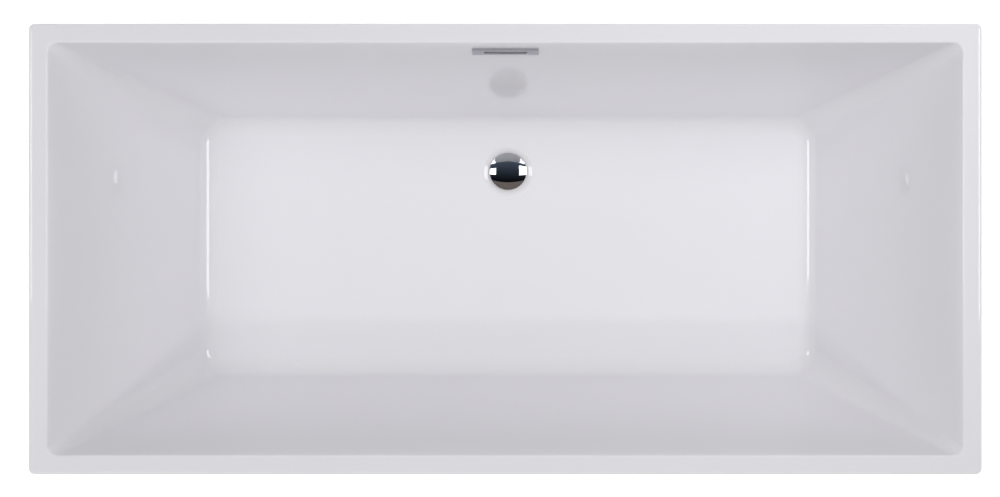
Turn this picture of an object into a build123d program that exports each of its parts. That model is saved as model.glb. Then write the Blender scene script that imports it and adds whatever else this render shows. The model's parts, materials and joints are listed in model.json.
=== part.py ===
from build123d import *
import math
import os

# Freestanding rectangular bath, millimetres. +Z is up, X runs along the length and +Y points to the
# back wall, which carries the overflow. The origin is on the floor under the middle of the rim.

# ---- rim and basin ----
LENGTH = 1700.0
WIDTH = 804.0
HEIGHT = 580.0
FLOOR_HEIGHT = 205.0
END_RUN = 212.5
SIDE_RUN = 118.0
RIM_WIDTH = 34.0
RIM_CORNER_RADIUS = 11.0
RIM_OUTER_ROUND = 7.0
RIM_INNER_ROUND = 5.5
LIP_DEPTH = 30.0
LIP_CORNER_RADIUS = 6.0
OPENING_CORNER_RADIUS = 16.0
FLOOR_CORNER_RADIUS = 50.0
FLOOR_BEND_RADIUS = 38.0
ACRYLIC = 5.0
LAMINATE = 3.0
BOND_LINE = 0.2

# ---- skirt ----
SKIRT_GAP = 0.3
SKIRT_WALL = 4.0
SKIRT_TAPER = 42.0
SKIRT_FLOOR_GAP = 8.0
SKIRT_FOOT_CORNER_RADIUS = 20.0
SKIRT_TOP_FLANGE = 18.0
SKIRT_BOTTOM_FLANGE = 15.0
SKIRT_LAMINATE = 2.0
SKIRT_LEAST_RADIUS = 1.0

# ---- board and frame ----
BOARD_INSET = 28.5
BOARD_OVERHANG = 7.5
BOARD_THICKNESS = 16.0
BOARD_CORNER_RADIUS = 20.0
NOTCH_RADIUS = 62.0
TUBE = 25.0
TUBE_WALL = 2.0
TUBE_CORNER_RADIUS = 3.0
RAIL_INSET = 35.0
RAIL_CLEARANCE = 12.5
INNER_CROSSBAR_SPACING = 340.0
INNER_SCREW_OFFSET = 80.0
OUTER_SCREW_OFFSET = 50.0
SCREW_DIAMETER = 5.0
SCREW_CLEARANCE = 0.1
SCREW_HEAD_DIAMETER = 10.0
SCREW_HEAD_HEIGHT = 3.4
SCREW_HEAD_BEVEL = 0.6
BOARD_SCREW_BITE = 10.0

# ---- feet ----
FOOT_INSET = 40.0
STUD_DIAMETER = 12.0
STUD_CLEARANCE = 0.06
STUD_BEVEL = 1.0
STUD_HOLE_DIAMETER = 13.0
BOSS_DIAMETER = 22.0
BOSS_HEIGHT = 30.0
LOCK_NUT_FLATS = 19.0
LOCK_NUT_HEIGHT = 7.0
STUD_COLLAR_FLATS = 19.0
STUD_COLLAR_HEIGHT = 8.0
PAD_DIAMETER = 56.0
PAD_NECK_DIAMETER = 28.0
PAD_EDGE = 5.0
PAD_BEVEL = 1.0
PAD_HEIGHT = 14.0
PAD_SOCKET_DEPTH = 9.0
FOOT_UP = 6.0
FOOT_END_PLAY = 1.6
SEAT_GAP = 0.3

# ---- skirt brackets ----
BRACKET_OFFSET = 120.0
BRACKET_WIDTH = 30.0
BRACKET_THICKNESS = 3.0
BRACKET_TAB = 34.0
BRACKET_SCREW_BITE = 8.0

# ---- waste ----
DRAIN_INSET = 100.0
DISH_DIAMETER = 98.0
DISH_FLOOR_DIAMETER = 78.0
DISH_DEPTH = 4.0
DISH_ROUND = 3.0
WASTE_HOLE_CLEARANCE = 1.1
TAIL_DIAMETER = 42.8
TAIL_BORE = 38.8
TAIL_LENGTH = 53.0
FLANGE_DIAMETER = 70.0
FLANGE_THICKNESS = 2.5
FLANGE_BEVEL = 1.2
UPPER_GASKET_THICKNESS = 1.5
LOWER_GASKET_THICKNESS = 3.0
GASKET_DIAMETER = 66.0
BACK_NUT_FLATS = 58.0
BACK_NUT_THICKNESS = 9.0
THREAD_CLEARANCE = 0.1
SPIDER_DROP = 27.0
SPIDER_THICKNESS = 4.0
SPIDER_HUB_DIAMETER = 15.0
SPIDER_ARM_WIDTH = 4.0
SPIDER_ARMS = 4

# ---- press mechanism ----
PLUG_DIAMETER = 74.0
PLUG_EDGE = 2.0
PLUG_RISE = 8.5
PLUG_TRAVEL = 9.0
PLUG_CLOSED_GAP = 0.5
PLUG_RECESS = 2.0
PLUG_RECESS_DIAMETER = 70.0
SEAL_OUTER_DIAMETER = 66.0
SEAL_INNER_DIAMETER = 46.0
SEAL_PROUD = 0.2
STEM_DIAMETER = 6.0
STEM_HEAD_DIAMETER = 11.0
STEM_HEAD_HEIGHT = 3.0
STEM_BITE = 4.0
RUNNING_FIT = 0.08
HOUSING_DIAMETER = 14.0
HOUSING_BORE = 11.2
HOUSING_FLOOR = 2.0
HOUSING_STUD_DIAMETER = 8.0
HOUSING_STUD_TIP = 2.0
HOUSING_CAP = 1.5
CLICK_RING_HEIGHT = 4.0
CLICK_RING_WALL = 2.3
CLICK_RING_SLOTS = 8
CLICK_SLOT_WIDTH = 1.2
CLICK_SLOT_DEPTH = 2.0
CLICK_SLOT_INSIDE = 0.8
SPRING_DIAMETER = 9.6
SPRING_WIRE = 1.0
SPRING_TURNS = 4.5

# ---- tee and trap ----
TEE_DIAMETER = 46.0
TEE_BORE = 38.8
COLLAR_DIAMETER = 52.0
COLLAR_HEIGHT = 5.0
WASHER_THICKNESS = 2.0
UNION_NUT_FLATS = 60.0
UNION_NUT_LIP = 3.7
UNION_NUT_THREAD = 10.0
NUT_GAP = 0.3
TEE_LENGTH = 49.0
TRAP_TUBE_DIAMETER = 44.0
TRAP_TUBE_BORE = 38.0
TRAP_BEND = 32.0
TRAP_FLOOR_CLEARANCE = 12.0
TRAP_STRAIGHT = 4.0
OUTLET_BORE = 40.4
OUTLET_SOCKET_DIAMETER = 50.0
OUTLET_SOCKET_DEPTH = 32.0
OUTLET_NECK = 8.0
OUTLET_NUT_DIAMETER = 58.0
OUTLET_NUT_LENGTH = 18.0
OUTLET_NUT_LIP = 3.0
OUTLET_SEAL_THICKNESS = 3.0
OUTLET_SEAL_WALL = 3.5
OUTLET_SEAL_EASE = 1.0
OUTLET_NUT_EASE = 1.6
NUT_RIBS = 12
NUT_RIB_DIAMETER = 2.0

# ---- overflow ----
OVERFLOW_DROP = 36.0
COVER_LENGTH = 120.0
COVER_HEIGHT = 22.0
COVER_DEPTH = 4.0
COVER_WALL = 1.5
COVER_ROUND = 1.0
SLOT_LENGTH = 78.0
SLOT_HEIGHT = 8.0
WALL_SLOT_HEIGHT = 14.0
OVERFLOW_SCREW_SPACING = 98.0
OVERFLOW_SCREW_DIAMETER = 4.0
OVERFLOW_SCREW_HEAD_DIAMETER = 8.0
OVERFLOW_SCREW_HEAD_HEIGHT = 2.2
OVERFLOW_SCREW_LENGTH = 18.0
OVERFLOW_SCREW_PLAY = 0.5
OVERFLOW_GASKET_THICKNESS = 2.0
BODY_LENGTH = 112.0
BODY_ABOVE = 12.0
BODY_BELOW = 26.0
BODY_DEPTH = 16.0
BODY_WALL = 2.5
PIPE_DIAMETER = 20.0
PIPE_BORE = 16.0
PIPE_BEND = 35.0
PIPE_SOCKET_WALL = 1.5
PIPE_NUT_DIAMETER = 28.0
PIPE_NUT_LENGTH = 16.0
PIPE_NUT_LIP = 3.0
PIPE_SOCKET_LENGTH = 18.0
PIPE_INSERT = 12.0
PIPE_END_GAP = 1.0
PIPE_CLEARANCE = 1.0

OVERCUT = 1.0

# ---- derived plan sizes ----
OPENING_LENGTH = LENGTH - 2 * RIM_WIDTH
OPENING_WIDTH = WIDTH - 2 * RIM_WIDTH
FLOOR_LENGTH = OPENING_LENGTH - 2 * END_RUN
FLOOR_WIDTH = OPENING_WIDTH - 2 * SIDE_RUN
DRAIN_Y = FLOOR_WIDTH / 2 - DRAIN_INSET
RAIL_SPACING = 2 * (DRAIN_Y + UNION_NUT_FLATS / 2 + RAIL_CLEARANCE) + TUBE
BOARD_WIDTH = RAIL_SPACING + TUBE + 2 * BOARD_OVERHANG
BOARD_LENGTH = FLOOR_LENGTH - 2 * BOARD_INSET
RAIL_LENGTH = BOARD_LENGTH - 2 * RAIL_INSET
FOOT_STATION = RAIL_LENGTH / 2 - FOOT_INSET
BRACKET_STATION = FOOT_STATION - BRACKET_OFFSET
INNER_SCREW_STATION = INNER_CROSSBAR_SPACING / 2 + INNER_SCREW_OFFSET
OUTER_SCREW_STATION = FOOT_STATION - OUTER_SCREW_OFFSET

# ---- derived heights and depths ----
FLOOR_Z = FLOOR_HEIGHT
BASIN_DEPTH = HEIGHT - FLOOR_HEIGHT
END_LEAN = math.atan((OPENING_LENGTH - FLOOR_LENGTH) / 2 / BASIN_DEPTH)
SIDE_LEAN = math.atan((OPENING_WIDTH - FLOOR_WIDTH) / 2 / BASIN_DEPTH)
LAMINATE_INSIDE = ACRYLIC + BOND_LINE
LAMINATE_OUTSIDE = LAMINATE_INSIDE + LAMINATE
RIM_UNDERSIDE = HEIGHT - ACRYLIC
LAMINATE_TOP = RIM_UNDERSIDE - SKIRT_WALL - 2 * SKIRT_GAP
BOARD_TOP = FLOOR_Z - LAMINATE_OUTSIDE - BOND_LINE
RAIL_TOP = BOARD_TOP - BOARD_THICKNESS
RAIL_BOTTOM = RAIL_TOP - TUBE
DISH_Z = FLOOR_Z - DISH_DEPTH
FLANGE_TOP = DISH_Z + UPPER_GASKET_THICKNESS + FLANGE_THICKNESS
TAIL_BOTTOM = FLANGE_TOP - TAIL_LENGTH
DISH_UNDERSIDE = DISH_Z - LAMINATE_OUTSIDE
BACK_NUT_TOP = DISH_UNDERSIDE - LOWER_GASKET_THICKNESS
TEE_TOP = TAIL_BOTTOM - WASHER_THICKNESS
TEE_BOTTOM = TEE_TOP - TEE_LENGTH
TEE_NUT_BOTTOM = TEE_TOP - COLLAR_HEIGHT - NUT_GAP - UNION_NUT_LIP
PIPE_SOCKET_DIAMETER = PIPE_DIAMETER + 2 * THREAD_CLEARANCE + 2 * PIPE_SOCKET_WALL
TEE_BRANCH_Z = TEE_NUT_BOTTOM - PIPE_CLEARANCE - PIPE_NUT_DIAMETER / 2
TRAP_TOP = TEE_BOTTOM - WASHER_THICKNESS
TRAP_LOW_Z = TRAP_FLOOR_CLEARANCE + TRAP_TUBE_DIAMETER / 2
TRAP_OUTLET_Z = TRAP_LOW_Z + 2 * TRAP_BEND + TRAP_STRAIGHT
OUTLET_SOCKET_X = 2 * TRAP_BEND + PIPE_CLEARANCE + TRAP_BEND + OUTLET_NECK
OUTLET_MOUTH_X = OUTLET_SOCKET_X + OUTLET_SOCKET_DEPTH
OVERFLOW_Z = HEIGHT - OVERFLOW_DROP
PIPE_AXIS_DEPTH = LAMINATE_OUTSIDE + PIPE_CLEARANCE + PIPE_NUT_DIAMETER / 2


def block(x_range, y_range, z_range):
    """Box between two limits on each axis."""
    size = [high - low for low, high in (x_range, y_range, z_range)]
    centre = [(high + low) / 2 for low, high in (x_range, y_range, z_range)]
    return Pos(*centre) * Box(*size)


def post(diameter, low, high, at=(0.0, 0.0)):
    """Upright cylinder between two heights."""
    return Pos(at[0], at[1], (low + high) / 2) * Cylinder(diameter / 2, high - low)


def ring(outer, inner, low, high, at=(0.0, 0.0)):
    """Upright ring between two heights."""
    return post(outer, low, high, at) - post(inner, low - OVERCUT, high + OVERCUT, at)


def hex_prism(flats, low, high, at=(0.0, 0.0)):
    """Upright hexagonal prism between two heights, with bevelled top and bottom corners."""
    corner_radius = flats / math.sqrt(3)
    prism = Pos(at[0], at[1], low) * extrude(RegularPolygon(corner_radius, 6), high - low)
    bevel = corner_radius - flats / 2
    barrel = chamfer(post(2 * corner_radius, low, high, at).edges().filter_by(GeomType.CIRCLE), bevel * 0.5)
    return prism & barrel


def cut_all(shape, cutters):
    """Takes each cutter out of the shape in turn."""
    for cutter in cutters:
        shape = shape - cutter
    return shape


def at_drain(shape):
    """Moves a piece made about the Z axis to the drain's axis."""
    return Pos(0, DRAIN_Y, 0) * shape


def tapered_form(low, high):
    """Solid between two rounded rectangles at different heights, with flat walls and ruled corners."""
    faces = [low.face(), high.face()]
    for below, above in zip(low.edges(), high.edges()):
        if below.geom_type == GeomType.LINE:
            faces.append(Face(Wire.make_polygon([below @ 0, below @ 1, above @ 1, above @ 0], close=True)))
        else:
            faces.append(Face.make_surface_from_curves(below, above))
    return Solid(Shell(faces))


# ---- basin ----
def basin_section(z, offset):
    """Plan outline of the basin at height z, moved outward by offset at right angles to its walls."""
    share = (z - FLOOR_Z) / BASIN_DEPTH
    length = FLOOR_LENGTH + share * (OPENING_LENGTH - FLOOR_LENGTH) + 2 * offset / math.cos(END_LEAN)
    width = FLOOR_WIDTH + share * (OPENING_WIDTH - FLOOR_WIDTH) + 2 * offset / math.cos(SIDE_LEAN)
    radius = FLOOR_CORNER_RADIUS + share * (OPENING_CORNER_RADIUS - FLOOR_CORNER_RADIUS) + offset
    return Plane.XY.offset(z) * RectangleRounded(length, width, radius)


def basin_form(offset, top):
    """Solid of the basin's hollow, grown by offset, with its rounded floor bend."""
    low = FLOOR_Z - offset
    body = tapered_form(basin_section(low, offset), basin_section(top, offset))
    floor = body.faces().sort_by(Axis.Z)[0]
    return fillet(floor.edges(), FLOOR_BEND_RADIUS + offset)


def dish_form(offset):
    """Shallow cone under the drain, grown by offset."""
    high = FLOOR_Z - offset
    low = DISH_Z - offset
    cone = Cone(DISH_FLOOR_DIAMETER / 2 + offset, DISH_DIAMETER / 2 + offset, high - low)
    return at_drain(Pos(0, 0, (high + low) / 2) * cone)


def back_wall_plane():
    """Plane on the inner face of the back wall at the overflow: Z points into the basin, Y up the wall."""
    y = FLOOR_WIDTH / 2 + (OVERFLOW_Z - FLOOR_Z) * math.tan(SIDE_LEAN)
    inward = (0, -math.cos(SIDE_LEAN), math.sin(SIDE_LEAN))
    return Plane(origin=(0, y, OVERFLOW_Z), x_dir=(1, 0, 0), z_dir=inward)


def overflow_screw_places():
    """Screw places in the back wall's plane, either side of the slot."""
    return [(side * OVERFLOW_SCREW_SPACING / 2, 0) for side in (-1, 1)]


def overflow_holes(deep):
    """Slot and two screw holes through the wall, from its inner face to the depth given."""
    low, high = -deep - OVERCUT, OVERCUT
    half_slot = SLOT_LENGTH / 2 + PIPE_CLEARANCE
    half_height = WALL_SLOT_HEIGHT / 2
    holes = [block((-half_slot, half_slot), (-half_height, half_height), (low, high))]
    for place in overflow_screw_places():
        holes.append(post(OVERFLOW_SCREW_DIAMETER + 2 * OVERFLOW_SCREW_PLAY, low, high, place))
    return [back_wall_plane() * hole for hole in holes]


def waste_hole(low, high):
    """Hole in the floor for the waste's tail."""
    return at_drain(post(TAIL_DIAMETER + 2 * WASTE_HOLE_CLEARANCE, low, high))


def edges_at_height(shape, z):
    """All edges that lie in the horizontal plane at z."""
    return shape.edges().filter_by(lambda e: abs(e.bounding_box().min.Z - z) < 0.01
                                   and abs(e.bounding_box().max.Z - z) < 0.01)


def is_inside_rim(edge):
    """Whether an edge lies nearer to the opening than to the rim's outside."""
    place = edge.center()
    return abs(place.X) < (LENGTH - RIM_WIDTH) / 2 and abs(place.Y) < (WIDTH - RIM_WIDTH) / 2


def basin_shell():
    """Acrylic sheet: rim with a turned-down lip, sloping walls, floor and drain dish."""
    outline = RectangleRounded(LENGTH, WIDTH, RIM_CORNER_RADIUS)
    inside = RectangleRounded(LENGTH - 2 * ACRYLIC, WIDTH - 2 * ACRYLIC, LIP_CORNER_RADIUS)
    rim = Pos(0, 0, HEIGHT - LIP_DEPTH) * extrude(outline, LIP_DEPTH)
    rim = fillet(edges_at_height(rim, HEIGHT), RIM_OUTER_ROUND)
    rim = rim - Pos(0, 0, HEIGHT - LIP_DEPTH) * extrude(inside, LIP_DEPTH - ACRYLIC)
    shell = rim + basin_form(ACRYLIC, HEIGHT - ACRYLIC / 2) + dish_form(ACRYLIC)
    shell = shell - basin_form(0, HEIGHT + OVERCUT)
    mouth = edges_at_height(shell, HEIGHT).filter_by(is_inside_rim)
    shell = fillet(mouth, RIM_INNER_ROUND)
    shell = shell - dish_form(0)
    dish_edges = shell.edges().filter_by(GeomType.CIRCLE).filter_by(
        lambda e: abs(e.center().Y - DRAIN_Y) < OVERCUT and e.bounding_box().min.Z > DISH_Z - 0.01)
    shell = fillet(dish_edges, DISH_ROUND)
    return cut_all(shell, [waste_hole(DISH_Z - 2 * ACRYLIC, FLOOR_Z)] + overflow_holes(ACRYLIC))


def basin_laminate():
    outer = basin_form(LAMINATE_OUTSIDE, LAMINATE_TOP) + dish_form(LAMINATE_OUTSIDE)
    inner = basin_form(LAMINATE_INSIDE, LAMINATE_TOP + OVERCUT) + dish_form(LAMINATE_INSIDE)
    low = DISH_Z - 2 * LAMINATE_OUTSIDE
    return cut_all(outer - inner, [waste_hole(low, FLOOR_Z)] + overflow_holes(LAMINATE_OUTSIDE))


# ---- skirt ----
SKIRT_LENGTH = LENGTH - 2 * ACRYLIC - 2 * SKIRT_GAP
SKIRT_WIDTH = WIDTH - 2 * ACRYLIC - 2 * SKIRT_GAP
SKIRT_HEIGHT = RIM_UNDERSIDE - SKIRT_FLOOR_GAP
SKIRT_SLOPE = SKIRT_TAPER / SKIRT_HEIGHT
SKIRT_TOP_CORNER_RADIUS = LIP_CORNER_RADIUS - SKIRT_GAP


def skirt_section(z, inset):
    """Plan outline of the skirt's outside at height z, moved inward by inset."""
    down = RIM_UNDERSIDE - z
    inward = 2 * (down * SKIRT_SLOPE + inset)
    growth = SKIRT_FOOT_CORNER_RADIUS - SKIRT_TOP_CORNER_RADIUS
    radius = SKIRT_TOP_CORNER_RADIUS + growth * down / SKIRT_HEIGHT
    radius = max(radius - inset, SKIRT_LEAST_RADIUS)
    outline = RectangleRounded(SKIRT_LENGTH - inward, SKIRT_WIDTH - inward, radius)
    return Plane.XY.offset(z) * outline


def skirt_form(inset, low, high):
    return tapered_form(skirt_section(low, inset), skirt_section(high, inset))


def outer_skirt():
    under_flange = RIM_UNDERSIDE - SKIRT_WALL
    above_return = SKIRT_FLOOR_GAP + SKIRT_WALL
    skirt = skirt_form(0, SKIRT_FLOOR_GAP, RIM_UNDERSIDE)
    skirt = skirt - skirt_form(SKIRT_WALL, above_return, under_flange)
    skirt = skirt - skirt_form(SKIRT_TOP_FLANGE, under_flange - OVERCUT, RIM_UNDERSIDE + OVERCUT)
    return skirt - skirt_form(SKIRT_BOTTOM_FLANGE, SKIRT_FLOOR_GAP - OVERCUT, above_return + OVERCUT)


def skirt_laminate():
    low = SKIRT_FLOOR_GAP + SKIRT_WALL + BOND_LINE
    high = RIM_UNDERSIDE - SKIRT_WALL - BOND_LINE
    outside = skirt_form(SKIRT_WALL + BOND_LINE, low, high)
    inside = skirt_form(SKIRT_WALL + BOND_LINE + SKIRT_LAMINATE, low - OVERCUT, high + OVERCUT)
    return outside - inside


def skirt_inside_y(z):
    """Half width to the laminate's inner face at height z."""
    return SKIRT_WIDTH / 2 - (RIM_UNDERSIDE - z) * SKIRT_SLOPE - SKIRT_WALL - BOND_LINE - SKIRT_LAMINATE


# ---- board and frame ----
def four_places(station):
    """Places on the two rails' middle lines, as far as station from the middle of the bath."""
    return [(x, y) for x in (-station, station) for y in (-RAIL_SPACING / 2, RAIL_SPACING / 2)]


def board_screw_places():
    return four_places(INNER_SCREW_STATION) + four_places(OUTER_SCREW_STATION)


def bracket_places():
    return four_places(BRACKET_STATION)


def foot_places():
    """Four feet near the rails' ends and one under the centre strut."""
    return four_places(FOOT_STATION) + [(0.0, 0.0)]


def screw_hole(low, high, place):
    return post(SCREW_DIAMETER + 2 * SCREW_CLEARANCE, low - OVERCUT, high, place)


def base_board():
    board = extrude(RectangleRounded(BOARD_LENGTH, BOARD_WIDTH, BOARD_CORNER_RADIUS), BOARD_THICKNESS)
    board = Pos(0, 0, RAIL_TOP) * board
    reach = (RAIL_TOP - OVERCUT, BOARD_TOP + OVERCUT)
    board = board - at_drain(post(2 * NOTCH_RADIUS, reach[0], reach[1]))
    board = board - block((-NOTCH_RADIUS, NOTCH_RADIUS), (DRAIN_Y, BOARD_WIDTH / 2 + OVERCUT), reach)
    tip = RAIL_TOP + BOARD_SCREW_BITE + OVERCUT
    holes = [screw_hole(RAIL_TOP, tip, place) for place in board_screw_places()]
    return cut_all(board, holes)


def square_tube(length):
    """Square tube along X, centred, with its top at the board's underside."""
    outer = RectangleRounded(TUBE, TUBE, TUBE_CORNER_RADIUS)
    bore = TUBE - 2 * TUBE_WALL
    inner = RectangleRounded(bore, bore, TUBE_CORNER_RADIUS - TUBE_WALL)
    tube = extrude(Plane.YZ * (outer - inner), length / 2, both=True)
    return Pos(0, 0, RAIL_TOP - TUBE / 2) * tube


def stud_hole(place):
    """Hole in a tube's lower wall for the top of a foot's stud."""
    return post(STUD_HOLE_DIAMETER, RAIL_BOTTOM - OVERCUT, RAIL_BOTTOM + TUBE / 2, place)


def frame_rail(side):
    y = side * RAIL_SPACING / 2
    middle, above = RAIL_BOTTOM + TUBE / 2, RAIL_TOP + OVERCUT
    holes = [screw_hole(RAIL_BOTTOM, above, place) for place in board_screw_places() if place[1] == y]
    holes += [screw_hole(RAIL_BOTTOM, middle, place) for place in bracket_places() if place[1] == y]
    holes += [stud_hole(place) for place in foot_places() if place[1] == y]
    return cut_all(Pos(0, y, 0) * square_tube(RAIL_LENGTH), holes)


def frame_crossbar(x):
    return Pos(x, 0, 0) * Rot(0, 0, 90) * square_tube(RAIL_SPACING - TUBE)


def centre_strut():
    return square_tube(INNER_CROSSBAR_SPACING - TUBE) - stud_hole((0.0, 0.0))


def screw(place, head_top, tip, diameter, head_diameter, head_height):
    """Screw driven upward, with its head below head_top."""
    head = post(head_diameter, head_top - head_height, head_top, place)
    head = chamfer(head.edges().sort_by(Axis.Z)[0], SCREW_HEAD_BEVEL)
    return head + post(diameter, head_top - head_height / 2, tip, place)


def board_screws():
    tip = RAIL_TOP + BOARD_SCREW_BITE
    return [screw(place, RAIL_BOTTOM, tip, SCREW_DIAMETER, SCREW_HEAD_DIAMETER, SCREW_HEAD_HEIGHT)
            for place in board_screw_places()]


def threaded_bosses():
    bore = STUD_DIAMETER + 2 * STUD_CLEARANCE
    low = RAIL_BOTTOM - BOSS_HEIGHT
    return [ring(BOSS_DIAMETER, bore, low, RAIL_BOTTOM, place) for place in foot_places()]


def lock_nuts():
    top = RAIL_BOTTOM - BOSS_HEIGHT
    bore = STUD_DIAMETER + 2 * STUD_CLEARANCE
    nuts = []
    for place in foot_places():
        nut = hex_prism(LOCK_NUT_FLATS, top - LOCK_NUT_HEIGHT, top, place)
        nuts.append(nut - post(bore, top - LOCK_NUT_HEIGHT - OVERCUT, top + OVERCUT, place))
    return nuts


# ---- feet ----
def foot_pad(place):
    """Round pad with a sloping neck and a blind socket for the stud's tip."""
    edge, neck = PAD_DIAMETER / 2, PAD_NECK_DIAMETER / 2
    profile = Polyline((0, 0), (edge - PAD_BEVEL, 0), (edge, PAD_BEVEL), (edge, PAD_EDGE),
                       (neck, PAD_HEIGHT), (0, PAD_HEIGHT), (0, 0))
    pad = revolve(Plane.XZ * make_face(profile), Axis.Z)
    socket = post(STUD_DIAMETER + 2 * STUD_CLEARANCE, PAD_HEIGHT - PAD_SOCKET_DEPTH, PAD_HEIGHT + OVERCUT)
    return Pos(place[0], place[1], 0) * (pad - socket)


def foot_stud(place):
    """Threaded stud with a hexagonal collar just above the pad."""
    tip = PAD_HEIGHT - PAD_SOCKET_DEPTH + SEAT_GAP
    top = RAIL_TOP - TUBE_WALL - FOOT_UP - FOOT_END_PLAY
    collar = PAD_HEIGHT + SEAT_GAP
    rod = chamfer(post(STUD_DIAMETER, tip, top, place).edges().filter_by(GeomType.CIRCLE), STUD_BEVEL)
    return rod + hex_prism(STUD_COLLAR_FLATS, collar, collar + STUD_COLLAR_HEIGHT, place)


# ---- skirt brackets ----
def skirt_bracket(place):
    """Strap under a rail with a tab that lies against the skirt's laminate."""
    x, y = place
    side = 1 if y > 0 else -1
    top = RAIL_BOTTOM
    low = top - BRACKET_THICKNESS
    start = RAIL_SPACING / 2 - TUBE / 2
    wall_low = skirt_inside_y(low) - SEAT_GAP
    wall_high = skirt_inside_y(low + BRACKET_TAB) - SEAT_GAP
    profile = Polyline((start, low), (wall_low, low), (wall_high, low + BRACKET_TAB),
                       (wall_high - BRACKET_THICKNESS, low + BRACKET_TAB),
                       (wall_low - BRACKET_THICKNESS, top), (start, top), (start, low))
    strap = extrude(Plane.YZ * make_face(profile), BRACKET_WIDTH / 2, both=True)
    if side < 0:
        strap = strap.mirror(Plane.XZ)
    return Pos(x, 0, 0) * strap - screw_hole(low, top + OVERCUT, place)


def bracket_screws():
    head_top = RAIL_BOTTOM - BRACKET_THICKNESS
    tip = RAIL_BOTTOM + BRACKET_SCREW_BITE
    return [screw(place, head_top, tip, SCREW_DIAMETER, SCREW_HEAD_DIAMETER, SCREW_HEAD_HEIGHT)
            for place in bracket_places()]


# ---- waste ----
def waste_flange():
    """Flange and tail in one piece, with a spider that carries the press mechanism."""
    under = FLANGE_TOP - FLANGE_THICKNESS
    flange = chamfer(post(FLANGE_DIAMETER, under, FLANGE_TOP).edges().sort_by(Axis.Z)[-1], FLANGE_BEVEL)
    flange = flange + post(TAIL_DIAMETER, TAIL_BOTTOM, under + OVERCUT)
    flange = flange - post(TAIL_BORE, TAIL_BOTTOM - OVERCUT, FLANGE_TOP + OVERCUT)
    spider_top = FLANGE_TOP - SPIDER_DROP
    spider_low = spider_top - SPIDER_THICKNESS
    spider = post(SPIDER_HUB_DIAMETER, spider_low, spider_top)
    reach = (TAIL_BORE + TAIL_DIAMETER) / 4
    half = SPIDER_ARM_WIDTH / 2
    for i in range(SPIDER_ARMS):
        arm = block((0, reach), (-half, half), (spider_low, spider_top))
        spider = spider + Rot(0, 0, i * 360 / SPIDER_ARMS) * arm
    hub_bore = HOUSING_STUD_DIAMETER + 2 * THREAD_CLEARANCE
    hub_hole = post(hub_bore, spider_low - OVERCUT, spider_top + OVERCUT)
    return at_drain(flange + spider - hub_hole)


def waste_gasket(low, thickness):
    inner = TAIL_DIAMETER + 2 * WASTE_HOLE_CLEARANCE
    return at_drain(ring(GASKET_DIAMETER, inner, low, low + thickness))


def waste_back_nut():
    low = BACK_NUT_TOP - BACK_NUT_THICKNESS
    nut = hex_prism(BACK_NUT_FLATS, low, BACK_NUT_TOP)
    return at_drain(nut - post(TAIL_DIAMETER + 2 * THREAD_CLEARANCE, low - OVERCUT, BACK_NUT_TOP + OVERCUT))


def union_nut(collar_top, upper_diameter, lower_diameter):
    """Hexagonal nut that is screwed to the pipe above and pulls up the collar of the pipe below."""
    cavity_top = collar_top + WASHER_THICKNESS + NUT_GAP
    cavity_low = collar_top - COLLAR_HEIGHT - NUT_GAP
    low = cavity_low - UNION_NUT_LIP
    high = cavity_top + UNION_NUT_THREAD
    nut = hex_prism(UNION_NUT_FLATS, low, high)
    nut = nut - post(COLLAR_DIAMETER + 2 * NUT_GAP, cavity_low, cavity_top)
    nut = nut - post(upper_diameter + 2 * THREAD_CLEARANCE, cavity_top - OVERCUT, high + OVERCUT)
    return at_drain(nut - post(lower_diameter + 2 * NUT_GAP, low - OVERCUT, cavity_low + OVERCUT))


def union_washer(low, outer):
    """Flat washer between the end of one pipe and the collar of the next."""
    return at_drain(ring(outer, TEE_BORE + 2 * NUT_GAP, low, low + WASHER_THICKNESS))


def waste_tee():
    """Upright tube with a collar at its top and a side socket for the overflow pipe."""
    mouth = TEE_DIAMETER / 2 + PIPE_NUT_LENGTH + PIPE_CLEARANCE
    tee = post(TEE_DIAMETER, TEE_BOTTOM, TEE_TOP) + post(COLLAR_DIAMETER, TEE_TOP - COLLAR_HEIGHT, TEE_TOP)
    branch = Pos(0, 0, TEE_BRANCH_Z) * Rot(-90, 0, 0) * post(PIPE_SOCKET_DIAMETER, 0, mouth)
    tee = tee + branch - post(TEE_BORE, TEE_BOTTOM - OVERCUT, TEE_TOP + OVERCUT)
    seat = mouth - PIPE_INSERT - PIPE_END_GAP
    to_branch = Pos(0, 0, TEE_BRANCH_Z) * Rot(-90, 0, 0)
    socket = to_branch * post(PIPE_DIAMETER + 2 * THREAD_CLEARANCE, seat, mouth + OVERCUT)
    way = to_branch * post(PIPE_BORE, 0, mouth)
    return at_drain(tee - socket - way)


def tube_along(path, outer, inner):
    """Tube of two diameters along a path."""
    start = Plane(origin=path @ 0, z_dir=path % 0)
    shell = sweep(start * Circle(outer / 2), path=path)
    return shell - sweep(start * Circle(inner / 2), path=path)


def ribbed_nut(outer, bore, pipe, length, lip):
    """Hand nut along Z from 0 to length, closed by a lip around the pipe at its far end, with grip ribs."""
    nut = post(outer - NUT_RIB_DIAMETER / 2, 0, length)
    reach = (outer - NUT_RIB_DIAMETER) / 2
    for i in range(NUT_RIBS):
        angle = 2 * math.pi * i / NUT_RIBS
        place = (reach * math.cos(angle), reach * math.sin(angle))
        nut = nut + post(NUT_RIB_DIAMETER, 0, length - lip, place)
    return nut - post(bore, -OVERCUT, length - lip) - post(pipe, length - lip - OVERCUT, length + OVERCUT)


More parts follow.
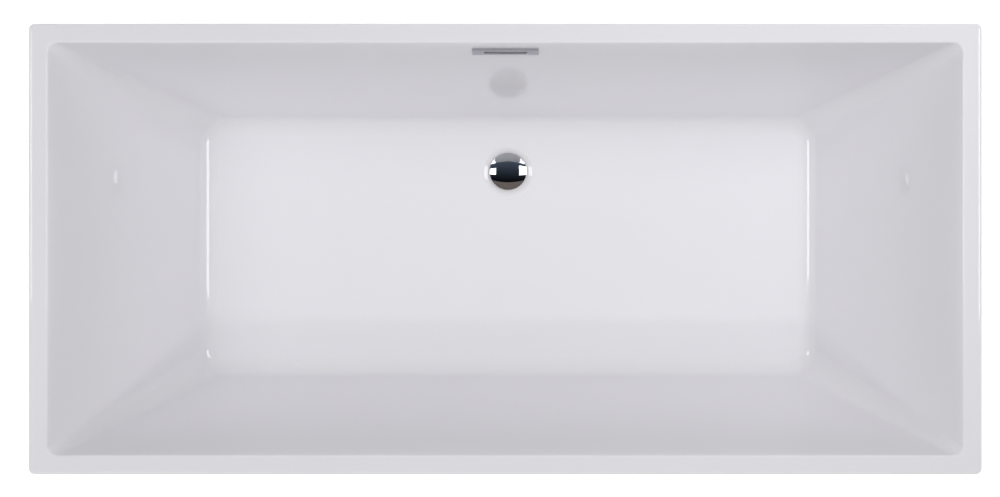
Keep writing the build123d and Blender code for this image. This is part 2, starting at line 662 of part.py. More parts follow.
def trap_body():
    """P-trap: a U bend from the tee down and up again, then an elbow to a socket that faces +X."""
    far_leg = 2 * TRAP_BEND + PIPE_CLEARANCE
    corners = [(0, TRAP_TOP), (0, TRAP_LOW_Z), (far_leg, TRAP_LOW_Z), (far_leg, TRAP_OUTLET_Z),
               (OUTLET_SOCKET_X, TRAP_OUTLET_Z)]
    path = Plane.XZ * FilletPolyline(*corners, radius=TRAP_BEND)
    tube = tube_along(path, TRAP_TUBE_DIAMETER, TRAP_TUBE_BORE)
    collar = ring(COLLAR_DIAMETER, TRAP_TUBE_BORE, TRAP_TOP - COLLAR_HEIGHT, TRAP_TOP)
    along = Pos(OUTLET_SOCKET_X, 0, TRAP_OUTLET_Z) * Rot(0, 90, 0)
    socket = ring(OUTLET_SOCKET_DIAMETER, OUTLET_BORE, 0, OUTLET_SOCKET_DEPTH)
    floor = ring(OUTLET_SOCKET_DIAMETER, TRAP_TUBE_BORE, -OUTLET_NUT_LIP, 0)
    return at_drain(tube + collar + along * (socket + floor))


def trap_outlet_seal():
    outer, inner = OUTLET_BORE + 2 * OUTLET_SEAL_WALL, OUTLET_BORE + OUTLET_SEAL_EASE
    seal = ring(outer, inner, 0, OUTLET_SEAL_THICKNESS)
    return at_drain(Pos(OUTLET_MOUTH_X, 0, TRAP_OUTLET_Z) * Rot(0, 90, 0) * seal)


def trap_outlet_nut():
    start = OUTLET_MOUTH_X + OUTLET_SEAL_THICKNESS + OUTLET_NUT_LIP - OUTLET_NUT_LENGTH
    bore = OUTLET_SOCKET_DIAMETER + 2 * THREAD_CLEARANCE
    way = OUTLET_BORE + OUTLET_NUT_EASE
    nut = ribbed_nut(OUTLET_NUT_DIAMETER, bore, way, OUTLET_NUT_LENGTH, OUTLET_NUT_LIP)
    return at_drain(Pos(start, 0, TRAP_OUTLET_Z) * Rot(0, 90, 0) * nut)


# ---- press mechanism, modelled closed: it opens by rising through the plug's travel ----
PLUG_EDGE_Z = FLANGE_TOP + PLUG_CLOSED_GAP
SPIDER_TOP = FLANGE_TOP - SPIDER_DROP
HOUSING_INSIDE_LOW = SPIDER_TOP + HOUSING_FLOOR
HOUSING_CAP_LOW = FLANGE_TOP - HOUSING_CAP
CLICK_RING_TOP = HOUSING_CAP_LOW - SEAT_GAP - PLUG_TRAVEL
STEM_HEAD_TOP = CLICK_RING_TOP - CLICK_RING_HEIGHT - SEAT_GAP
STEM_HEAD_LOW = STEM_HEAD_TOP - STEM_HEAD_HEIGHT
STEM_TOP = PLUG_EDGE_Z + PLUG_RECESS + STEM_BITE


def plug_cap():
    """Low dome with a recess for the seal and a blind hole for the stem."""
    edge, crown = PLUG_EDGE_Z + PLUG_EDGE, PLUG_EDGE_Z + PLUG_EDGE + PLUG_RISE
    rim = PLUG_DIAMETER / 2
    dome_radius = (rim ** 2 + PLUG_RISE ** 2) / 2 / PLUG_RISE
    middle_angle = math.asin(rim / dome_radius) / 2
    middle = (dome_radius * math.sin(middle_angle), crown - dome_radius * (1 - math.cos(middle_angle)))
    low = PLUG_EDGE_Z
    outline = Line((0, low), (rim, low)) + Line((rim, low), (rim, edge))
    outline = outline + ThreePointArc((rim, edge), middle, (0, crown)) + Line((0, crown), (0, low))
    cap = revolve(Plane.XZ * make_face(outline), Axis.Z)
    cap = cap - post(PLUG_RECESS_DIAMETER, low - OVERCUT, low + PLUG_RECESS)
    return at_drain(cap - post(STEM_DIAMETER + 2 * THREAD_CLEARANCE, low, STEM_TOP + SEAT_GAP))


def plug_seal():
    low = PLUG_EDGE_Z - SEAL_PROUD
    return at_drain(ring(SEAL_OUTER_DIAMETER, SEAL_INNER_DIAMETER, low, PLUG_EDGE_Z + PLUG_RECESS))


def plug_stem():
    head = post(STEM_HEAD_DIAMETER, STEM_HEAD_LOW, STEM_HEAD_TOP)
    return at_drain(head + post(STEM_DIAMETER, STEM_HEAD_LOW, STEM_TOP))


def click_ring():
    """Index ring with notches round its top edge."""
    bore = STEM_DIAMETER + 2 * RUNNING_FIT
    body = ring(bore + 2 * CLICK_RING_WALL, bore, CLICK_RING_TOP - CLICK_RING_HEIGHT, CLICK_RING_TOP)
    half = CLICK_SLOT_WIDTH / 2
    for i in range(CLICK_RING_SLOTS):
        notch = block((bore / 2 + CLICK_SLOT_INSIDE, STEM_HEAD_DIAMETER), (-half, half),
                      (CLICK_RING_TOP - CLICK_SLOT_DEPTH, CLICK_RING_TOP + OVERCUT))
        body = body - Rot(0, 0, i * 360 / CLICK_RING_SLOTS) * notch
    return at_drain(body)


def cartridge_housing():
    cup = post(HOUSING_DIAMETER, SPIDER_TOP, FLANGE_TOP)
    cup = cup - post(HOUSING_BORE, HOUSING_INSIDE_LOW, FLANGE_TOP + OVERCUT)
    stud_low = SPIDER_TOP - SPIDER_THICKNESS - HOUSING_STUD_TIP
    return at_drain(cup + post(HOUSING_STUD_DIAMETER, stud_low, SPIDER_TOP + HOUSING_FLOOR / 2))


def cartridge_cap():
    outer = HOUSING_BORE - 2 * THREAD_CLEARANCE
    return at_drain(ring(outer, STEM_DIAMETER + 2 * RUNNING_FIT, HOUSING_CAP_LOW, FLANGE_TOP))


def click_spring():
    low = HOUSING_INSIDE_LOW + SEAT_GAP + SPRING_WIRE / 2
    high = STEM_HEAD_LOW - SEAT_GAP - SPRING_WIRE / 2
    height = high - low
    coil = Helix(pitch=height / SPRING_TURNS, height=height, radius=(SPRING_DIAMETER - SPRING_WIRE) / 2)
    section = Plane(origin=coil @ 0, z_dir=coil % 0) * Circle(SPRING_WIRE / 2)
    return at_drain(Pos(0, 0, low) * sweep(section, path=coil, is_frenet=True))


# ---- overflow, in the back wall's plane ----
BODY_FRONT = -LAMINATE_OUTSIDE - OVERFLOW_GASKET_THICKNESS
BODY_BACK = BODY_FRONT - BODY_DEPTH
SPIGOT_MOUTH = -BODY_BELOW - PIPE_SOCKET_LENGTH


def overflow_cover():
    """Shallow cap over the wall's slot, with one long slot of its own."""
    plate = extrude(Rectangle(COVER_LENGTH, COVER_HEIGHT), COVER_DEPTH)
    corners = plate.edges().filter_by(Axis.Z) + plate.edges().group_by(Axis.Z)[-1]
    plate = fillet(corners, COVER_ROUND)
    hollow = Rectangle(COVER_LENGTH - 2 * COVER_WALL, COVER_HEIGHT - 2 * COVER_WALL)
    inside = extrude(hollow, COVER_DEPTH - COVER_WALL)
    slot = Pos(0, 0, COVER_DEPTH / 2) * extrude(SlotOverall(SLOT_LENGTH, SLOT_HEIGHT), COVER_DEPTH)
    return back_wall_plane() * (plate - inside - slot)


def overflow_screws():
    plane = back_wall_plane()
    screws = []
    for place in overflow_screw_places():
        head = post(OVERFLOW_SCREW_HEAD_DIAMETER, 0, OVERFLOW_SCREW_HEAD_HEIGHT, place)
        shank = post(OVERFLOW_SCREW_DIAMETER, -OVERFLOW_SCREW_LENGTH, OVERFLOW_SCREW_HEAD_HEIGHT / 2, place)
        screws.append(plane * (head + shank))
    return screws


def overflow_gasket():
    half = BODY_LENGTH / 2
    frame = block((-half, half), (-BODY_ABOVE, BODY_ABOVE), (BODY_FRONT, -LAMINATE_OUTSIDE))
    half_slot = SLOT_LENGTH / 2 + PIPE_CLEARANCE
    high = WALL_SLOT_HEIGHT / 2
    frame = frame - block((-half_slot, half_slot), (-high, high), (BODY_FRONT - OVERCUT, 0))
    hole = OVERFLOW_SCREW_DIAMETER + 2 * OVERFLOW_SCREW_PLAY
    screw_holes = [post(hole, BODY_FRONT - OVERCUT, 0, place) for place in overflow_screw_places()]
    return back_wall_plane() * cut_all(frame, screw_holes)


def overflow_body():
    """Flat box behind the wall that leads down into a round spigot."""
    half = BODY_LENGTH / 2
    half_slot = SLOT_LENGTH / 2 + PIPE_CLEARANCE
    slot_high = WALL_SLOT_HEIGHT / 2
    back, front = BODY_BACK + BODY_WALL, BODY_FRONT - BODY_WALL
    floor = BODY_WALL - BODY_BELOW
    box = block((-half, half), (-BODY_BELOW, BODY_ABOVE), (BODY_BACK, BODY_FRONT))
    hollow = block((-half_slot, half_slot), (floor, slot_high), (back, front))
    mouth = block((-half_slot, half_slot), (-slot_high, slot_high), (front - OVERCUT, BODY_FRONT + OVERCUT))
    to_spigot = Pos(0, 0, -PIPE_AXIS_DEPTH) * Rot(-90, 0, 0)
    spigot = to_spigot * post(PIPE_SOCKET_DIAMETER, SPIGOT_MOUTH, floor)
    socket_top = SPIGOT_MOUTH + PIPE_INSERT + PIPE_END_GAP
    socket = to_spigot * post(PIPE_DIAMETER + 2 * THREAD_CLEARANCE, SPIGOT_MOUTH - OVERCUT, socket_top)
    throat_low = -BODY_BELOW - BODY_WALL
    way = to_spigot * post(PIPE_BORE, SPIGOT_MOUTH, throat_low)
    throat = to_spigot * post(PIPE_BORE, throat_low, floor + OVERCUT)
    throat = throat & block((-half, half), (throat_low, floor + OVERCUT), (back, front))
    screw_bore = OVERFLOW_SCREW_DIAMETER + 2 * SCREW_CLEARANCE
    deep = -OVERFLOW_SCREW_LENGTH - OVERCUT
    screw_holes = [post(screw_bore, deep, 0, place) for place in overflow_screw_places()]
    body = cut_all(box + spigot, [hollow, mouth, throat, socket, way] + screw_holes)
    return back_wall_plane() * body


def overflow_pipe():
    """Bent pipe from the overflow body down behind the basin to the tee."""
    plane = back_wall_plane()
    top = plane.from_local_coords((0, SPIGOT_MOUTH + PIPE_INSERT, -PIPE_AXIS_DEPTH))
    start_y = DRAIN_Y + TEE_DIAMETER / 2 + PIPE_NUT_LENGTH + PIPE_CLEARANCE - PIPE_INSERT
    elbow_y = top.Y - (top.Z - TEE_BRANCH_Z) * math.tan(SIDE_LEAN)
    corners = [(start_y, TEE_BRANCH_Z), (elbow_y, TEE_BRANCH_Z), (top.Y, top.Z)]
    path = Plane.YZ * FilletPolyline(*corners, radius=PIPE_BEND)
    return tube_along(path, PIPE_DIAMETER, PIPE_BORE)


def pipe_nut():
    bore = PIPE_SOCKET_DIAMETER + 2 * THREAD_CLEARANCE
    way = PIPE_DIAMETER + 2 * THREAD_CLEARANCE
    return ribbed_nut(PIPE_NUT_DIAMETER, bore, way, PIPE_NUT_LENGTH, PIPE_NUT_LIP)


def overflow_nut_upper():
    start = SPIGOT_MOUTH - PIPE_NUT_LIP + PIPE_NUT_LENGTH - NUT_GAP
    return back_wall_plane() * Pos(0, start, -PIPE_AXIS_DEPTH) * Rot(90, 0, 0) * pipe_nut()


def overflow_nut_lower():
    start = TEE_DIAMETER / 2 + PIPE_CLEARANCE + PIPE_NUT_LIP + NUT_GAP
    return at_drain(Pos(0, start, TEE_BRANCH_Z) * Rot(-90, 0, 0) * pipe_nut())


# ---- write one file per sub-part ----
def all_parts():
    parts = {
        "basin_shell": basin_shell(),
        "basin_laminate": basin_laminate(),
        "outer_skirt": outer_skirt(),
        "skirt_laminate": skirt_laminate(),
        "base_board": base_board(),
        "frame_rail_front": frame_rail(-1),
        "frame_rail_back": frame_rail(1),
        "frame_crossbar_left_end": frame_crossbar(-(RAIL_LENGTH - TUBE) / 2),
        "frame_crossbar_left": frame_crossbar(-INNER_CROSSBAR_SPACING / 2),
        "frame_crossbar_right": frame_crossbar(INNER_CROSSBAR_SPACING / 2),
        "frame_crossbar_right_end": frame_crossbar((RAIL_LENGTH - TUBE) / 2),
        "frame_centre_strut": centre_strut(),
        "board_screws": board_screws(),
        "threaded_bosses": threaded_bosses(),
        "lock_nuts": lock_nuts(),
        "bracket_screws": bracket_screws(),
        "waste_flange": waste_flange(),
        "waste_gasket_upper": waste_gasket(DISH_Z, UPPER_GASKET_THICKNESS),
        "waste_gasket_lower": waste_gasket(BACK_NUT_TOP, LOWER_GASKET_THICKNESS),
        "waste_back_nut": waste_back_nut(),
        "waste_tee": waste_tee(),
        "tee_washer": union_washer(TEE_TOP, TAIL_DIAMETER),
        "tee_union_nut": union_nut(TEE_TOP, TAIL_DIAMETER, TEE_DIAMETER),
        "trap_washer": union_washer(TRAP_TOP, TEE_DIAMETER),
        "trap_union_nut": union_nut(TRAP_TOP, TEE_DIAMETER, TRAP_TUBE_DIAMETER),
        "trap_body": trap_body(),
        "trap_outlet_seal": trap_outlet_seal(),
        "trap_outlet_nut": trap_outlet_nut(),
        "plug_cap": plug_cap(),
        "plug_seal": plug_seal(),
        "plug_stem": plug_stem(),
        "click_ring": click_ring(),
        "click_spring": click_spring(),
        "cartridge_housing": cartridge_housing(),
        "cartridge_cap": cartridge_cap(),
        "overflow_cover": overflow_cover(),
        "overflow_screws": overflow_screws(),
        "overflow_gasket": overflow_gasket(),
        "overflow_body": overflow_body(),
        "overflow_pipe": overflow_pipe(),
        "overflow_nut_upper": overflow_nut_upper(),
        "overflow_nut_lower": overflow_nut_lower(),
    }
    corner_names = ("left_front", "left_back", "right_front", "right_back")
    for name, place in zip(corner_names + ("centre",), foot_places()):
        parts["foot_pad_" + name] = foot_pad(place)
        parts["foot_stud_" + name] = foot_stud(place)
    for name, place in zip(corner_names, bracket_places()):
        parts["skirt_bracket_" + name] = skirt_bracket(place)
    return parts


os.makedirs("parts", exist_ok=True)
for node, shape in all_parts().items():
    solids = shape if isinstance(shape, list) else [shape]
    body = Compound(children=[solid for piece in solids for solid in piece.solids()])
    export_step(body, f"parts/{node}.step")
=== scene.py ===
import json
import math

import bpy
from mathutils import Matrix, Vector


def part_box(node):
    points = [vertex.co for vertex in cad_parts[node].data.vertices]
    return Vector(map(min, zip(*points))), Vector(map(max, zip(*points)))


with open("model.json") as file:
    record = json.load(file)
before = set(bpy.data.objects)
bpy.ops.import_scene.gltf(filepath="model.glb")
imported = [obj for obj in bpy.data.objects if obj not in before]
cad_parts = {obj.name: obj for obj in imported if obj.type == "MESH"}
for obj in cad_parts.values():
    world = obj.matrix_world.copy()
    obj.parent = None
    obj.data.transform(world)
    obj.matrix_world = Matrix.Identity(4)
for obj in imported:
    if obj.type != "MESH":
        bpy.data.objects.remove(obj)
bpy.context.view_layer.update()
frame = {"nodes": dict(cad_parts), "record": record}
nodes = frame["nodes"]

# ---- rim read from the frame, in metres ----
RIM_LOW, RIM_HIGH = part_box("basin_shell")
RIM_LENGTH = RIM_HIGH.x - RIM_LOW.x
RIM_TOP = RIM_HIGH.z

# ---- camera: straight above the tub, a little right of and behind its middle ----
IMAGE_WIDTH = 1000.0
SENSOR = 36.0
CAMERA_HEIGHT_OVER_RIM = 3.0
RIM_PIXELS = 955.0
PIXELS_PER_METRE_AT_RIM = RIM_PIXELS / RIM_LENGTH
RIM_CENTRE_PIXEL = (505.2, 249.0)
IMAGE_CENTRE_PIXEL = (500.0, 248.5)
NADIR_PIXEL = (531.0, 225.0)

# ---- lights: two windows that only reflections see, given as their reach in X and in Y, soft lamps
# overhead, given as their place and radiance, and a small lamp in front ----
WINDOW_HEIGHT = 2.55
WINDOWS = (
    ("left_window", (-2.9, -1.65), (-0.19, 0.66)),
    ("right_window", (1.42, 2.9), (-0.25, 0.98)),
)
WINDOW_RADIANCE = 6.0
SOFT_LAMP_SIZE = 1.2
SOFT_LAMPS = (
    ("overhead_lamp", (0.0, 0.0, 2.9), 2.8),
    ("back_right_lamp", (1.3, 0.9, 2.3), 3.0),
    ("left_lamp", (-1.9, 0.0, 2.3), 2.4),
)
FRONT_LIGHT_PLACE = (0.55, -1.5, 2.5)
FRONT_LIGHT_SIZE = 0.07
FRONT_LIGHT_POWER = 4.0

# ---- room: soft glows, each given as its direction, sharpness and colour, a low glow all round, and
# what polished surfaces see instead: a strip of ceiling and the room beyond it ----
BLACK = (0.0, 0.0, 0.0)
WHITE = (1.0, 1.0, 1.0)
SKY_GLOWS = (
    ((0.0, 0.0, 1.0), 2.0, (0.65, 0.65, 0.65)),
    ((0.0, -0.71, 0.71), 8.0, (0.30, 0.30, 0.30)),
)
HORIZON_SHARPNESS = 60.0
HORIZON_COLOUR = (12.0, 12.0, 12.0)
CEILING_STRIP_SLOPE = 0.55
CEILING_CURVE = 1.6
LEAST_HEIGHT = 0.01
CEILING_BACK = (0.09, 0.115, 0.16)
CEILING_FRONT = (0.003, 0.004, 0.006)
ROOM_BEYOND_STRIP = (0.22, 0.185, 0.168)

# ---- floor ----
STAGE_SIZE = 30.0
STAGE_COLOUR = (0.86, 0.86, 0.87, 1.0)
STAGE_ROUGHNESS = 0.75
STAGE_GLOW = 0.6


# ---- node helpers ----
def put(socket, value):
    """Links another node's output to the socket, or sets the socket to a plain value."""
    if isinstance(value, bpy.types.NodeSocket):
        socket.id_data.links.new(value, socket)
    else:
        socket.default_value = value


def add_node(tree, kind, **values):
    """New node with its settings and inputs given by name, with underscores for the spaces in them."""
    node = tree.nodes.new(kind)
    for key, value in values.items():
        label = key.replace("_", " ")
        if label in node.inputs:
            put(node.inputs[label], value)
        else:
            setattr(node, key, value)
    return node


def calculated(tree, operation, *values):
    """Result of one step of arithmetic on the values."""
    node = add_node(tree, "ShaderNodeMath", operation=operation)
    for socket, value in zip(node.inputs, values):
        put(socket, value)
    return node.outputs[0]


class Graph:
    """Short names for building one material's nodes."""

    def __init__(self, name):
        self.material = bpy.data.materials.new(name)
        self.material.use_nodes = True
        self.tree = self.material.node_tree
        self.shader = self.tree.nodes["Principled BSDF"]
        self.place = self.add("ShaderNodeTexCoord").outputs["Object"]

    def add(self, kind, **values):
        """New node in this material."""
        return add_node(self.tree, kind, **values)

    def base(self, **values):
        """Sets the shader's own inputs, with underscores for the spaces in their names."""
        for key, value in values.items():
            put(self.shader.inputs[key.replace("_", " ")], value)

    def stretched(self, *scale):
        """Object coordinates scaled along each axis, for textures that run one way."""
        return self.add("ShaderNodeMapping", Vector=self.place, Scale=scale).outputs["Vector"]

    def noise(self, scale, detail=3.0, roughness=0.5, vector=None):
        """Soft clouds from 0 to 1, finer as the scale grows."""
        vector = vector or self.place
        node = self.add("ShaderNodeTexNoise", Vector=vector, Scale=scale, Detail=detail, Roughness=roughness)
        return node.outputs["Fac"]

    def cells(self, scale, vector=None):
        """Outputs of a pattern of cells, smaller as the scale grows."""
        return self.add("ShaderNodeTexVoronoi", Vector=vector or self.place, Scale=scale).outputs

    def grey(self, colour):
        """Lightness of a colour."""
        return self.add("ShaderNodeRGBToBW", Color=colour).outputs["Val"]

    def ramp(self, value, *stops):
        """Colour that runs through the stops, given as (position, colour), as the value grows."""
        node = self.add("ShaderNodeValToRGB", Fac=value)
        while len(node.color_ramp.elements) < len(stops):
            node.color_ramp.elements.new(0.5)
        for element, (at, colour) in zip(node.color_ramp.elements, stops):
            element.position = at
            element.color = (*colour, 1.0)
        return node.outputs["Color"]

    def range(self, value, low, high):
        """Number between low and high, as the value grows from 0 to 1."""
        return self.add("ShaderNodeMapRange", Value=value, To_Min=low, To_Max=high).outputs["Result"]

    def bump(self, height, strength, distance):
        """Fine relief on the surface, with its depth in metres."""
        relief = self.add("ShaderNodeBump", Height=height, Strength=strength, Distance=distance)
        self.base(Normal=relief.outputs["Normal"])


# ---- materials ----
def acrylic():
    """Polished white sheet: a slow waviness from forming and a very faint haze."""
    g = Graph("acrylic_white")
    tint = g.noise(scale=1.6, detail=2.0)
    haze = g.noise(scale=9.0, detail=4.0)
    waves = g.noise(scale=3.2, detail=1.0)
    white = g.ramp(tint, (0.3, (0.868, 0.860, 0.896)), (0.7, (0.884, 0.876, 0.910)))
    g.base(Base_Color=white, Roughness=g.range(haze, 0.02, 0.05), IOR=1.49)
    g.bump(waves, strength=0.08, distance=0.0012)
    return g.material


def laminate():
    """Rolled glass-fibre mat under resin: strands, paler patches and a dull gloss."""
    g = Graph("fibre_laminate")
    strands = g.cells(scale=260.0, vector=g.stretched(1.0, 0.35, 0.6))["Distance"]
    patches = g.noise(scale=14.0, detail=5.0)
    resin = g.ramp(patches, (0.25, (0.50, 0.47, 0.34)), (0.75, (0.68, 0.65, 0.52)))
    g.base(Base_Color=resin, Roughness=g.range(strands, 0.35, 0.7))
    g.bump(strands, strength=0.6, distance=0.0008)
    return g.material


def plywood():
    """Board with lighter and darker grain along its length."""
    g = Graph("plywood")
    grain = g.noise(scale=26.0, detail=6.0, roughness=0.6, vector=g.stretched(0.12, 2.2, 1.0))
    wood = g.ramp(grain, (0.3, (0.42, 0.27, 0.13)), (0.55, (0.60, 0.43, 0.25)), (0.8, (0.70, 0.54, 0.34)))
    g.base(Base_Color=wood, Roughness=g.range(grain, 0.55, 0.8))
    g.bump(grain, strength=0.35, distance=0.0006)
    return g.material


def galvanised():
    """Zinc-coated tube with its spangle."""
    g = Graph("galvanised_steel")
    spangle = g.grey(g.cells(scale=95.0)["Color"])
    grit = g.noise(scale=220.0)
    zinc = g.ramp(spangle, (0.1, (0.42, 0.44, 0.46)), (0.9, (0.66, 0.68, 0.70)))
    g.base(Base_Color=zinc, Metallic=0.9, Roughness=g.range(spangle, 0.32, 0.55))
    g.bump(grit, strength=0.15, distance=0.0002)
    return g.material


def zinc_plated():
    """Bright zinc plating with a faint yellow cast and fine turning marks."""
    g = Graph("zinc_plated_steel")
    marks = g.noise(scale=900.0, vector=g.stretched(0.4, 0.4, 3.0))
    cast = g.noise(scale=45.0)
    zinc = g.ramp(cast, (0.3, (0.60, 0.60, 0.57)), (0.7, (0.72, 0.69, 0.58)))
    g.base(Base_Color=zinc, Metallic=1.0, Roughness=g.range(marks, 0.22, 0.42))
    g.bump(marks, strength=0.2, distance=0.0001)
    return g.material


def moulded(name, dark, light, roughness, spread=0.07):
    """Moulded plastic with a fine spark-eroded grain."""
    g = Graph(name)
    tint = g.noise(scale=30.0)
    grain = g.noise(scale=1400.0, detail=2.0)
    dullness = g.range(grain, roughness - spread, roughness + spread)
    g.base(Base_Color=g.ramp(tint, (0.3, dark), (0.7, light)), Roughness=dullness)
    g.bump(grain, strength=0.25, distance=0.00015)
    return g.material


def chrome():
    """Polished chrome plate with a trace of wiping marks."""
    g = Graph("chrome_plate")
    wipe = g.noise(scale=60.0, detail=4.0, vector=g.stretched(1.0, 3.0, 1.0))
    plate = g.ramp(wipe, (0.3, (0.53, 0.54, 0.56)), (0.7, (0.57, 0.58, 0.60)))
    g.base(Base_Color=plate, Metallic=1.0, Roughness=g.range(wipe, 0.03, 0.07))
    return g.material


def satin_chrome():
    """Chrome plate over a fine brushed grain along the piece."""
    g = Graph("satin_chrome_plate")
    strokes = g.noise(scale=500.0, vector=g.stretched(0.05, 1.0, 1.0))
    plate = g.ramp(strokes, (0.3, (0.60, 0.60, 0.64)), (0.7, (0.66, 0.66, 0.70)))
    g.base(Base_Color=plate, Metallic=1.0, Roughness=g.range(strokes, 0.56, 0.68))
    g.bump(strokes, strength=0.1, distance=0.0001)
    return g.material


def turned_metal(name, dark, light):
    """Turned metal: rings of tool marks round an upright axis."""
    g = Graph(name)
    tint = g.noise(scale=40.0)
    marks = g.noise(scale=700.0, detail=2.0, vector=g.stretched(0.2, 0.2, 3.0))
    metal = g.ramp(tint, (0.3, dark), (0.7, light))
    g.base(Base_Color=metal, Metallic=1.0, Roughness=g.range(marks, 0.2, 0.4))
    g.bump(marks, strength=0.2, distance=0.0001)
    return g.material


def rubber():
    """Matt black rubber with a light bloom."""
    g = Graph("black_rubber")
    bloom = g.noise(scale=120.0, detail=5.0)
    black = g.ramp(bloom, (0.35, (0.018, 0.018, 0.019)), (0.75, (0.045, 0.045, 0.046)))
    g.base(Base_Color=black, Roughness=g.range(bloom, 0.6, 0.85))
    g.bump(bloom, strength=0.3, distance=0.0002)
    return g.material


SLOT_MATERIALS = {
    "acrylic": acrylic(),
    "laminate": laminate(),
    "plywood": plywood(),
    "frame_steel": galvanised(),
    "zinc_steel": zinc_plated(),
    "foot_plastic": moulded("black_plastic", (0.022, 0.022, 0.024), (0.035, 0.035, 0.037), 0.5),
    "chrome": chrome(),
    "satin_chrome": satin_chrome(),
    "brass": turned_metal("turned_brass", (0.62, 0.44, 0.19), (0.76, 0.58, 0.30)),
    "stainless": turned_metal("stainless_steel", (0.56, 0.56, 0.57), (0.68, 0.68, 0.69)),
    "rubber": rubber(),
    "white_plastic": moulded("white_plastic", (0.74, 0.74, 0.73), (0.80, 0.80, 0.79), 0.38),
}


def dress_nodes():
    """Gives every CAD node the material of its slot."""
    for part in frame["record"]["subparts"]:
        piece = nodes[part["node"]]
        material = SLOT_MATERIALS[part["material_slot"]]
        if not piece.material_slots:
            piece.data.materials.append(material)
        for slot in piece.material_slots:
            slot.material = material


# ---- stage, light and camera ----
def pale_floor():
    """Plain white floor that reads as white in the picture and keeps the tub's shadow."""
    bpy.ops.mesh.primitive_plane_add(size=STAGE_SIZE)
    floor = bpy.context.object
    floor.name = "floor"
    g = Graph("floor_white")
    g.base(Base_Color=STAGE_COLOUR, Roughness=STAGE_ROUGHNESS)
    rays = g.add("ShaderNodeLightPath")
    seen = calculated(g.tree, "MAXIMUM", rays.outputs["Is Camera Ray"], rays.outputs["Is Glossy Ray"])
    seen = calculated(g.tree, "MAXIMUM", seen, rays.outputs["Is Transmission Ray"])
    glow = calculated(g.tree, "MULTIPLY", seen, STAGE_GLOW)
    g.base(Emission_Color=(*WHITE, 1.0), Emission_Strength=glow)
    floor.data.materials.append(g.material)


def area_light(name, place, target, size, radiance):
    """Rectangular lamp whose surface has the radiance given, turned to face the target."""
    data = bpy.data.lights.new(name, "AREA")
    data.shape = "RECTANGLE"
    data.size, data.size_y = size
    data.energy = radiance * size[0] * size[1] * math.pi
    light = bpy.data.objects.new(name, data)
    light.location = place
    light.rotation_euler = (Vector(target) - Vector(place)).to_track_quat("-Z", "Y").to_euler()
    bpy.context.scene.collection.objects.link(light)
    return light


def studio_lights():
    """Windows that show in polished surfaces alone, and lamps that light the tub but show in none."""
    for name, along, across in WINDOWS:
        place = (sum(along) / 2, sum(across) / 2, WINDOW_HEIGHT)
        below = (place[0], place[1], 0.0)
        size = (along[1] - along[0], across[1] - across[0])
        window = area_light(name, place, below, size, WINDOW_RADIANCE)
        window.visible_diffuse = False
    for name, place, radiance in SOFT_LAMPS:
        below = (place[0], place[1], 0.0)
        lamp = area_light(name, place, below, (SOFT_LAMP_SIZE, SOFT_LAMP_SIZE), radiance)
        lamp.visible_glossy = False
    size = (FRONT_LIGHT_SIZE, FRONT_LIGHT_SIZE)
    radiance = FRONT_LIGHT_POWER / (math.pi * FRONT_LIGHT_SIZE ** 2)
    lamp = area_light("front_light", FRONT_LIGHT_PLACE, (0.0, 0.0, RIM_TOP), size, radiance)
    lamp.visible_glossy = False


def mixed(tree, share, first, second, blend="MIX"):
    """First colour with that share of the second mixed into it or added to it."""
    node = add_node(tree, "ShaderNodeMix", data_type="RGBA", blend_type=blend, clamp_factor=False)
    put(node.inputs["Factor"], share)
    for socket, value in ((node.inputs["A"], first), (node.inputs["B"], second)):
        put(socket, value if isinstance(value, bpy.types.NodeSocket) else (*value, 1.0))
    return node.outputs["Result"]


def sky_glows(tree, direction, up):
    """Light from the world: the soft glows, and a low one all round that lights the skirt."""
    glow = BLACK
    for towards, sharpness, colour in SKY_GLOWS:
        facing = add_node(tree, "ShaderNodeVectorMath", operation="DOT_PRODUCT")
        put(facing.inputs[0], direction)
        put(facing.inputs[1], towards)
        ahead = calculated(tree, "MAXIMUM", facing.outputs["Value"], 0.0)
        glow = mixed(tree, calculated(tree, "POWER", ahead, sharpness), glow, colour, "ADD")
    lowness = calculated(tree, "SUBTRACT", 1.0, calculated(tree, "ABSOLUTE", up))
    share = calculated(tree, "POWER", lowness, HORIZON_SHARPNESS)
    return mixed(tree, share, glow, HORIZON_COLOUR, "ADD")


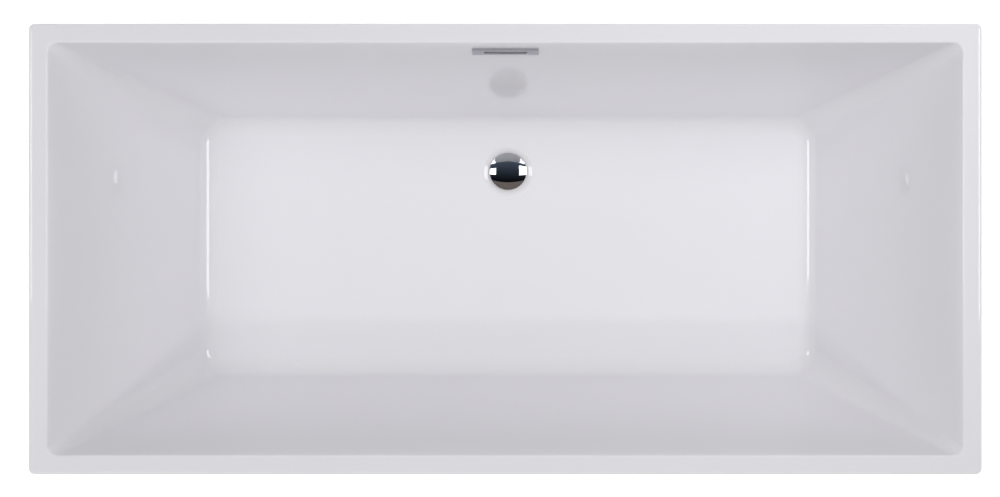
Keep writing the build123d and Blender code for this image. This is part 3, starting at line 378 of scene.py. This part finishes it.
def reflected_room(tree, back, up):
    """What polished surfaces see: a strip of ceiling, darker to the front, and the room beyond it."""
    slope = calculated(tree, "DIVIDE", back, calculated(tree, "MAXIMUM", up, LEAST_HEIGHT))
    share = calculated(tree, "MULTIPLY_ADD", slope, 0.5 / CEILING_STRIP_SLOPE, 0.5)
    ceiling = mixed(tree, calculated(tree, "POWER", share, CEILING_CURVE), CEILING_FRONT, CEILING_BACK)
    steepness = calculated(tree, "ABSOLUTE", slope)
    beyond_strip = calculated(tree, "GREATER_THAN", steepness, CEILING_STRIP_SLOPE)
    return mixed(tree, beyond_strip, ceiling, ROOM_BEYOND_STRIP)


def studio_world():
    """Soft glows light the tub, its reflections see a room, and the camera sees white."""
    world = bpy.data.worlds.new("studio")
    bpy.context.scene.world = world
    world.use_nodes = True
    tree = world.node_tree
    direction = add_node(tree, "ShaderNodeTexCoord").outputs["Generated"]
    axes = add_node(tree, "ShaderNodeSeparateXYZ", Vector=direction).outputs
    glows = sky_glows(tree, direction, axes["Z"])
    room = reflected_room(tree, axes["Y"], axes["Z"])
    rays = add_node(tree, "ShaderNodeLightPath").outputs
    colour = mixed(tree, rays["Is Glossy Ray"], glows, room)
    colour = mixed(tree, rays["Is Camera Ray"], colour, WHITE)
    background = tree.nodes["Background"]
    put(background.inputs["Color"], colour)
    put(background.inputs["Strength"], 1.0)


def photo_camera():
    """Camera looking straight down, shifted so that the rim lies where the frame needs it."""
    focal_pixels = PIXELS_PER_METRE_AT_RIM * CAMERA_HEIGHT_OVER_RIM
    data = bpy.data.cameras.new("camera")
    data.sensor_width = SENSOR
    data.lens = focal_pixels * SENSOR / IMAGE_WIDTH
    data.shift_x = -(NADIR_PIXEL[0] - IMAGE_CENTRE_PIXEL[0]) / IMAGE_WIDTH
    data.shift_y = (NADIR_PIXEL[1] - IMAGE_CENTRE_PIXEL[1]) / IMAGE_WIDTH
    camera = bpy.data.objects.new("camera", data)
    right = (NADIR_PIXEL[0] - RIM_CENTRE_PIXEL[0]) / PIXELS_PER_METRE_AT_RIM
    back = (RIM_CENTRE_PIXEL[1] - NADIR_PIXEL[1]) / PIXELS_PER_METRE_AT_RIM
    camera.location = (right, back, RIM_TOP + CAMERA_HEIGHT_OVER_RIM)
    bpy.context.scene.collection.objects.link(camera)
    bpy.context.scene.camera = camera


dress_nodes()
pale_floor()
studio_lights()
studio_world()
photo_camera()
bpy.context.scene.view_settings.view_transform = "Standard"
